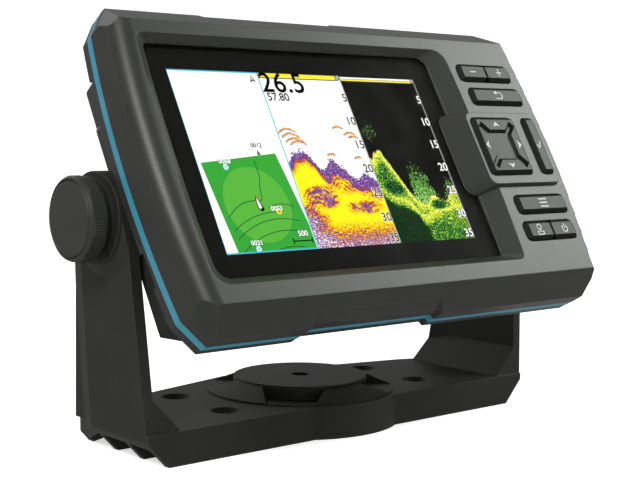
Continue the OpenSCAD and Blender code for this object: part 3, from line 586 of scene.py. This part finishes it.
def green_sonar():
    """A side picture in yellow and green on black, with weed standing off the bottom."""
    s = Picture("sonar_green")
    hills = s.profile([
        (0.0, 0.5), (0.05, 0.5), (0.1, 0.535), (0.16, 0.545), (0.22, 0.485), (0.3, 0.385),
        (0.38, 0.29), (0.44, 0.235), (0.55, 0.225), (0.66, 0.27), (0.74, 0.245), (0.82, 0.235),
        (0.9, 0.28), (1.0, 0.33)])
    fine = s.echo(58, (1.1, 1.3, 1), 2, 0.85)
    grit = s.math("SUBTRACT", fine, 0.5)
    broad = s.ramp(s.echo(9, (1.2, 1.9, 1), 4, 0.7), 0.3, 0.7, 0.2, 0.8)
    ripple = s.math("MULTIPLY", s.math("SUBTRACT", s.echo(20, (1, 0.3, 1), 3), 0.5), 0.05)
    depth = s.math("SUBTRACT", s.math("ADD", hills, ripple), s.v)
    ridge = s.ramp(depth, 0.11, 0.0)
    # a second bright line runs from the hill's foot round the shadow and out along the bed
    line = s.profile([(0.0, 0.33), (0.1, 0.275), (0.25, 0.24), (0.36, 0.2), (0.43, 0.13),
                      (0.48, 0.14), (0.6, 0.17), (0.8, 0.19), (1.0, 0.2)])
    below = s.math("SUBTRACT", line, s.v)
    second = s.ramp(s.math("ABSOLUTE", below), 0.055, 0.0)
    bed = s.math("MULTIPLY", s.ramp(s.u, 0.4, 0.47), s.ramp(s.v, 0.02, 0.2, -0.35, 0.62))
    bright = s.largest(ridge, s.math("MULTIPLY", second, 0.85), bed)
    level = s.math("ADD", s.math("MULTIPLY", bright, 0.5), s.math("MULTIPLY", broad, 0.46))
    shade = s.largest(s.math("MULTIPLY", s.ramp(below, 0.02, 0.07), s.ramp(s.u, 0.46, 0.41)),
                      s.math("MULTIPLY", s.spot(0.72, 0.215, 0.15, 0.035), 1.3),
                      s.math("MULTIPLY", s.spot(0.17, 0.31, 0.17, 0.06), 0.55))
    level = s.math("SUBTRACT", level, s.math("MULTIPLY", shade, 0.4))
    level = s.math("ADD", level, s.math("MULTIPLY", grit, 2.3))
    inside = s.ramp(s.math("ADD", depth, s.math("MULTIPLY", grit, 0.05)), 0.0, 0.008)
    ground = s.colours(level, [
        (0.06, (0.004, 0.02, 0.004, 1)), (0.2, (0.012, 0.12, 0.025, 1)),
        (0.34, (0.03, 0.28, 0.035, 1)), (0.48, (0.22, 0.48, 0.02, 1)),
        (0.62, (0.83, 0.8, 0.02, 1)), (0.9, (0.98, 0.94, 0.25, 1))])
    # weed: fine branches spreading upwards
    tall = s.profile([(0.0, 0.0), (0.36, 0.0), (0.42, 0.36), (0.48, 0.475), (0.56, 0.47),
                      (0.66, 0.42), (0.72, 0.3), (0.8, 0.26), (0.85, 0.32), (0.93, 0.385),
                      (1.0, 0.36)])
    tuft = s.math("SUBTRACT", tall, s.v)
    branches = s.echo(30, (1.7, 0.75, 1), 6, 0.85)
    twigs = s.math("ADD", s.math("MULTIPLY", s.math("MINIMUM", tuft, 0.16), 0.9), branches)
    cover = s.ramp(s.math("ADD", twigs, s.math("MULTIPLY", grit, 0.35)), 0.58, 0.61)
    cover = s.math("MULTIPLY", cover, s.ramp(tuft, 0.0, 0.01))
    lower = s.math("MULTIPLY", s.math("SUBTRACT", 0.3, s.v), 0.5)
    weed = s.colours(s.math("ADD", fine, lower), [
        (0.36, (0.008, 0.07, 0.01, 1)), (0.48, (0.06, 0.32, 0.04, 1)),
        (0.58, (0.3, 0.62, 0.12, 1)), (0.7, (0.8, 0.9, 0.45, 1))])
    # loose specks and one school near the left edge
    school = s.math("MULTIPLY", s.spot(0.13, 0.66, 0.14, 0.085), 0.2)
    specks = s.ramp(s.math("ADD", school, s.echo(48, (1, 1.4, 1), 3)), 0.74, 0.77, 0.0, 0.75)
    water = s.mix(specks, (0.004, 0.004, 0.003, 1), (0.14, 0.3, 0.08, 1))
    water = s.mix(cover, water, weed)
    return s.show(s.mix(inside, water, ground))


backing = plate("screen_panel", [rectangle(LCD_LOW[0], LCD_LOW[2], LCD_HIGH[0], LCD_HIGH[2])],
                PAGE_Y + 0.02, LCD_HIGH[1], CHIPS)
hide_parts("lcd_panel")
THIRD, TWO_THIRDS = 1 / 3, 2 / 3
page("page_chart", 0, THIRD, WHITE)
page("page_warm", THIRD, TWO_THIRDS, warm_sonar())
page("page_green", TWO_THIRDS, 1, green_sonar())

# chart: a turned green field, a paler round zone, depth lines, the track and the boat
field = clip([(0.017, 0.484), (0.297, 0.531), (0.345, -0.02), (0.047, -0.02)], 0.002, 0.331, 0.004)
lit("chart_field", [field], 2, GREEN)
lit("chart_zone", [[(0.169 + 0.117 * math.cos(a), 0.254 + 0.204 * math.sin(a))
                    for a in round_the_clock(64)]], 3, PALE_GREEN)


def arch_line(left, right, middle, top, steep, steps=8):
    """Places along an arch that falls away on both sides of its middle, kept on the page."""
    line = []
    for k in range(steps + 1):
        u = left + (right - left) * k / steps
        v = top - steep * (u - middle) ** 2
        if v > LOWEST_LINE:
            line.append((u, v))
    return line


# the track rises from the uppermost depth line to the flag; the lower lines lie ever further apart
LOWEST_LINE = 0.01
track = [(0.19, 0.285), (0.197, 0.35), (0.208, 0.4), (0.208, 0.49)]
depth_lines = [arch_line(0.052, 0.178, 0.155, 0.274, 7.7) + track,
               arch_line(0.204, 0.298, 0.25, 0.252, 8)]
for i in range(4):
    depth_lines.append(arch_line(0.056 + 0.005 * i, 0.3 + 0.005 * i if i else 0.224, 0.22 + 0.01 * i,
                                 0.21 - 0.024 * i - 0.0128 * i * i, 3.3))
lit_line("chart_depth_lines", [smooth_line(line) for line in depth_lines], 0.28, 4, DARK_GREEN)
lit("chart_boat_edge", [[(0.164, 0.238), (0.165, 0.283), (0.169, 0.303), (0.176, 0.276),
                         (0.187, 0.226), (0.176, 0.214)]], 5, BLACK)
lit("chart_boat_deck", [[(0.167, 0.24), (0.168, 0.28), (0.17, 0.29), (0.174, 0.27),
                         (0.179, 0.236), (0.172, 0.228)]], 6, WHITE)
lit("chart_boat_stern", [[(0.175, 0.219), (0.185, 0.229), (0.182, 0.238), (0.174, 0.226)]],
    6, BLACK)
lit("chart_boat_bow", [[(0.168, 0.28), (0.1695, 0.298), (0.1725, 0.278)]], 7, ORANGE)
lit("chart_flag", [[(0.228, 0.522), (0.233, 0.552), (0.243, 0.517)]], 5, DARK_GREEN)
lit("chart_flag_foot", [[(0.232, 0.527), (0.243, 0.521), (0.241, 0.507), (0.234, 0.512)]],
    6, PALE_GREEN)
lit("chart_mark", [dot(0.236, 0.211, 1.0)], 5, YELLOW)
lit("chart_mark_middle", [dot(0.236, 0.211, 0.5)], 6, OLIVE)
lit_line("chart_scale", [[(0.252, 0.066), (0.252, 0.05), (0.323, 0.05), (0.323, 0.066)],
                         [(0.252, 0.05), (0.252, 0.034)],
                         [(0.323, 0.05), (0.323, 0.034)]], 0.4, 5, BLACK)
lit_line("chart_north", [[(0.3, 0.938), (0.3085, 0.98), (0.3165, 0.94)],
                         [(0.3035, 0.95), (0.3135, 0.951)]], 0.45, 5, BLACK)
BADGE = ((-0.008, 0), (-0.004, 0.017), (0.006, 0.018), (0.012, 0), (0.004, -0.016),
         (-0.006, -0.013))
BADGE_MIDDLE = ((-0.002, -0.002), (0.002, 0.01), (0.007, 0))
for name, u, v in (("a", 0.098, 0.458), ("b", 0.117, 0.02)):
    for label, corners, layer, finish in (("", BADGE, 5, PALE_BLUE),
                                          ("middle_", BADGE_MIDDLE, 6, CYAN)):
        placed = [(u + du, v + dv) for du, dv in corners]
        lit("chart_badge_" + label + name, [placed], layer, finish)
number("chart_number_top", "0012", 0.256, 0.565, 2.2, BLACK, bold=0.03)
for name, text, u, v in (("a", "0068", 0.122, 0.478), ("b", "0021", 0.14, 0.042),
                         ("c", "0053", 0.252, 0.217)):
    number("chart_number_" + name, text, u, v, 2.3, WHITE, layer=5, bold=0.04)
    number("chart_number_edge_" + name, text, u, v, 2.3, DARK_GREEN, layer=4, bold=0.13)
number("chart_scale_number", "500", 0.314, 0.075, 2.7, WHITE, layer=5, bold=0.05)
number("chart_scale_number_edge", "500", 0.314, 0.075, 2.7, BLACK, layer=4, bold=0.15)

# cyan frame round the chosen third, grey lines beside the others
FRAME_U, FRAME_V = 0.00175, 0.006
lit_line("frame_chart", [[(FRAME_U, 1), (FRAME_U, FRAME_V), (THIRD, FRAME_V),
                          (THIRD, 1 - FRAME_V), (0, 1 - FRAME_V)]], 0.42, 6, CYAN)
lit_line("frame_lines", [[(TWO_THIRDS, 0), (TWO_THIRDS, 0.965)], [(0.9975, 0), (0.9975, 0.97)]],
         0.34, 6, GREY)

# range bars over the two sonar thirds, each ending in a round knob
lit("range_edge_warm", [rectangle(0.336, 0.966, 0.652, 1.0)], 4, DARK_GREY)
lit("range_bar_warm", [rectangle(0.337, 0.971, 0.648, 0.996)], 5, YELLOW)
lit("range_edge_green", [rectangle(0.669, 0.966, 0.992, 0.994)], 4, DARK_GREY)
lit("range_line_green", [rectangle(0.669, 0.982, 0.989, 0.992)], 5, WHITE)
lit("range_bar_green", [rectangle(0.669, 0.969, 0.989, 0.979)], 5, YELLOW)
for name, u in (("warm", 0.655), ("green", 0.991)):
    lit("range_knob_edge_" + name, [dot(u, 0.981, 0.95)], 7, DARK_GREY)
    lit("range_knob_" + name, [dot(u, 0.981, 0.68)], 8, GREY)

number("depth_now", "26.5", 0.332, 0.884, 10.6, BLACK, "LEFT", 9, 0.12, 1.04)
number("depth_small", "57.80", 0.342, 0.834, 4.2, BLACK, "LEFT", 7, 0.05)
# even depth figures down the right-hand side of each sonar picture, each with an outline behind it
SCALE_TOP, SCALE_STEP, SCALE_LOWEST = 0.838, 0.1415, 0.012
for i in range(7):
    v = max(SCALE_TOP - SCALE_STEP * i, SCALE_LOWEST)
    text = str(5 * (i + 1))
    number(f"scale_warm_{text}", text, 0.667, v, 4.4, BLACK, layer=7, bold=0.05)
    number(f"scale_warm_edge_{text}", text, 0.667, v, 4.4, WHITE, layer=6, bold=0.2)
    number(f"scale_green_{text}", text, 1.0, v, 4.4, WHITE, layer=8, bold=0.07)
    number(f"scale_green_edge_{text}", text, 1.0, v, 4.4, BLACK, layer=6, bold=0.22)


# ---------------------------------------------------------------- cover glass

def glass_finish():
    """Clear, with a trace of reflection that varies like a wiped surface."""
    s = Shader("clear_glass")
    clear = s.node("ShaderNodeBsdfTransparent")
    mixed = s.node("ShaderNodeMixShader")
    smudge = s.ramp(s.noise(120, 3), 0.35, 0.7, 0.004, 0.012)
    s.link(smudge, mixed.inputs[0])
    s.link(clear.outputs[0], mixed.inputs[1])
    s.link(s.bsdf.outputs[0], mixed.inputs[2])
    s.link(mixed.outputs[0], s.out.inputs[0])
    s.set("Base Color", (0.02, 0.02, 0.02, 1))
    s.set("Roughness", 0.12)
    return s.mat


def print_finish():
    """Matt black print on the back of the glass."""
    s = Shader("glass_print")
    s.set("Base Color", s.mix(s.ramp(s.noise(300), 0.3, 0.7), (0.008, 0.008, 0.007, 1),
                              (0.010, 0.010, 0.009, 1)))
    s.set("Roughness", s.ramp(s.noise(900), 0.3, 0.7, 0.45, 0.55))
    s.set("Specular IOR Level", 0.0)
    return s.mat


def ring(name, outer, inner, front, back, finish):
    """A plate with a rectangular opening."""
    bm = bmesh.new()
    (front_outer, front_inner), (back_outer, back_inner) = [
        [[bm.verts.new((x * MM, y * MM, z * MM)) for x, z in rectangle(*r)] for r in (outer, inner)]
        for y in (front, back)]
    for i in range(4):
        j = (i + 1) % 4
        bm.faces.new((front_outer[i], front_outer[j], front_inner[j], front_inner[i]))
        bm.faces.new((back_outer[j], back_outer[i], back_inner[i], back_inner[j]))
        bm.faces.new((front_outer[j], front_outer[i], back_outer[i], back_outer[j]))
        bm.faces.new((front_inner[i], front_inner[j], back_inner[j], back_inner[i]))
    add_mesh(name, bm, finish, "head")


# a clear sheet, and a black print round the lit area on its back
GLASS_OUTLINE = (GLASS_LOW[0], GLASS_LOW[2], GLASS_HIGH[0], GLASS_HIGH[2])
PRINT_T, PRINT_GAP = 0.07, 0.1
sheet = plate("glass_sheet", [rectangle(*GLASS_OUTLINE)], GLASS_LOW[1], GLASS_HIGH[1] - PRINT_GAP,
              glass_finish())
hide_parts("cover_glass")
ring("glass_print", GLASS_OUTLINE, (*at(0, 0), *at(1, 1)), GLASS_HIGH[1] - PRINT_T, GLASS_HIGH[1],
     print_finish())

# ---------------------------------------------------------------- key symbols

# In mm: how far a mark stands out of its key, how far it is sunk in, and its usual line width
MARK_PROUD, MARK_SUNK = 0.05, 0.02
LINE = 0.42
THIN_LINE = 0.38


def symbol(key, outlines):
    """Printed marks standing a hair proud of a key, in mm from the middle of its top."""
    low, high = head_box(key)
    x, z = (low[0] + high[0]) / 2, (low[2] + high[2]) / 2
    moved = [[(x + px, z + pz) for px, pz in outline] for outline in outlines]
    body = "dpad" if key == "key_dpad" else key
    plate(key + "_mark", moved, low[1] - MARK_PROUD, low[1] + MARK_SUNK, PRINT, body)


symbol("key_minus", [rectangle(-1.5, -LINE / 2, 1.5, LINE / 2)])
symbol("key_plus", [rectangle(-1.5, -LINE / 2, -LINE / 2, LINE / 2),
                    rectangle(LINE / 2, -LINE / 2, 1.5, LINE / 2),
                    rectangle(-LINE / 2, -1.6, LINE / 2, 1.6)])
hook = [(-0.6, 1.2)] + [(1.0 + 1.25 * math.sin(a), -0.05 + 1.25 * math.cos(a))
                        for a in (math.pi * i / 12 for i in range(13))] + [(-1.6, -1.3)]
symbol("key_back", stroke(hook, LINE) + [[(-2.1, 1.2), (-0.6, 0.35), (-0.6, 2.05)]])
symbol("key_menu", [rectangle(-2.1, z - 0.25, 2.1, z + 0.25) for z in (-1.5, 0, 1.5)])
symbol("key_select", stroke([(-1.2, 0.1), (-0.3, -1.4), (1.2, 1.5)], LINE + 0.08))
pin = stroke([(1.05 * math.sin(a), 1.0 + 1.05 * math.cos(a)) for a in round_the_clock(16)],
             THIN_LINE, True)
symbol("key_mark", pin + stroke([(0, -0.15), (0, -1.1)], LINE)
       + stroke([(-0.75, -0.85), (-1.55, -0.85), (-1.55, -2.0), (1.55, -2.0), (1.55, -0.85),
                 (0.75, -0.85)], THIN_LINE))
GAP = 38
dial = [(1.4 * math.sin(a), -0.15 + 1.4 * math.cos(a)) for a in
        (math.radians(GAP + (360 - 2 * GAP) * i / 16) for i in range(17))]
symbol("key_power", stroke(dial, LINE) + [rectangle(-LINE / 2, -0.2, LINE / 2, 1.75)])
ARROW = ((-1.75, 7.6), (0, 8.1), (1.75, 7.6), (0, 9.6))
symbol("key_dpad", [[(x * math.cos(a) - z * math.sin(a), x * math.sin(a) + z * math.cos(a))
                     for x, z in ARROW] for a in round_the_clock(4)])

# ---------------------------------------------------------------- stage, lights, camera

LOOK_AZIMUTH, LOOK_ELEVATION, LOOK_ROLL = (math.radians(a) for a in (-40.634, 4.817, 0.431))
# Aimed this far right of and below a point on the axis of the base's centre hole
AIM_RIGHT, AIM_UP, AIM_HEIGHT, DISTANCE = 6.50 * MM, -14.92 * MM, 80 * MM, 475.5 * MM
HOLE_OFFSET = Vector((0, -0.7 * MM, 0))
LENS, SENSOR_WIDTH = 74.36, 36
side, rise = math.cos(LOOK_ELEVATION), math.sin(LOOK_ELEVATION)
right = Vector((math.cos(LOOK_AZIMUTH), math.sin(LOOK_AZIMUTH), 0))
back = Vector((math.sin(LOOK_AZIMUTH) * side, -math.cos(LOOK_AZIMUTH) * side, rise))
up = back.cross(right)
eye = Vector((0, 0, AIM_HEIGHT)) + right * AIM_RIGHT + up * AIM_UP + back * DISTANCE + HOLE_OFFSET
rolled_right = right * math.cos(LOOK_ROLL) + up * math.sin(LOOK_ROLL)
rolled_up = up * math.cos(LOOK_ROLL) - right * math.sin(LOOK_ROLL)
facing = Matrix((rolled_right, rolled_up, back)).transposed().to_4x4()
camera = bpy.data.objects.new("camera", bpy.data.cameras.new("camera"))
bpy.context.scene.collection.objects.link(camera)
camera.matrix_world = Matrix.Translation(eye) @ facing
camera.data.lens = LENS
camera.data.sensor_width = SENSOR_WIDTH
camera.data.clip_start = 0.01
bpy.context.scene.camera = camera

# How much the paper glows to the camera, so that it reads as plain white
PAPER_LIFT = 0.62


def stage_finish():
    s = Shader("stage_paper")
    s.set("Base Color", s.mix(s.ramp(s.noise(3, 3), 0.3, 0.7), (0.86, 0.86, 0.86, 1),
                              (0.9, 0.9, 0.9, 1)))
    s.set("Roughness", 0.9)
    s.set("Specular IOR Level", 0.1)
    seen = s.node("ShaderNodeLightPath").outputs["Is Camera Ray"]
    s.set("Emission Color", (1, 1, 1, 1))
    s.set("Emission Strength", s.math("MULTIPLY", seen, PAPER_LIFT))
    return s.mat


def sweep(flat=1.6, bend=0.9, wall=2.2, around=64):
    """A round sheet of paper: flat under the object, then curving up into a wall on all sides."""
    bm = bmesh.new()
    steps = [(flat * k / 4, 0) for k in range(1, 5)]
    steps += [(flat + bend * math.sin(a), bend * (1 - math.cos(a)))
              for a in (math.pi / 2 * k / 12 for k in range(1, 13))]
    steps += [(flat + bend, bend + wall)]
    middle = bm.verts.new((0, 0, 0))
    rings = [[bm.verts.new((radius * math.cos(a), radius * math.sin(a), height))
              for a in round_the_clock(around)] for radius, height in steps]
    for i in range(around):
        bm.faces.new((middle, rings[0][i], rings[0][(i + 1) % around]))
    for a, b in zip(rings, rings[1:]):
        for i in range(around):
            j = (i + 1) % around
            bm.faces.new((a[i], b[i], b[j], a[j]))
    mesh = bpy.data.meshes.new("stage_sweep")
    bm.to_mesh(mesh)
    bm.free()
    mesh.materials.append(stage_finish())
    for face in mesh.polygons:
        face.use_smooth = True
    made = bpy.data.objects.new("stage_sweep", mesh)
    bpy.context.scene.collection.objects.link(made)
    made.visible_glossy = False


LIT_POINT = Vector((0, -0.02, 0.07))


def softbox(name, toward, distance, size, power, colour=(1, 1, 1)):
    """A square area light of this size in metres and power in watts, aimed at the object."""
    data = bpy.data.lights.new(name, "AREA")
    data.shape = "RECTANGLE"
    data.size = data.size_y = size
    data.energy = power
    data.color = colour
    made = bpy.data.objects.new(name, data)
    bpy.context.scene.collection.objects.link(made)
    direction = Vector(toward).normalized()
    made.location = LIT_POINT + direction * distance
    made.rotation_euler = direction.to_track_quat("Z", "Y").to_euler()


sweep()
softbox("key_light", (0.78, -0.32, 0.54), 1.3, 0.5, 9, (0.96, 1.0, 0.95))
softbox("edge_light", (-0.69, -0.37, 0.62), 1.4, 0.4, 13)
softbox("back_light", (0.0, 0.79, 0.61), 1.5, 0.35, 1.8)

STUDIO_LEVEL = 0.45
world = bpy.data.worlds.new("studio")
bpy.context.scene.world = world
world.use_nodes = True
background = world.node_tree.nodes["Background"]
background.inputs["Color"].default_value = (1, 1, 1, 1)
background.inputs["Strength"].default_value = STUDIO_LEVEL
bpy.context.scene.view_settings.view_transform = "Standard"
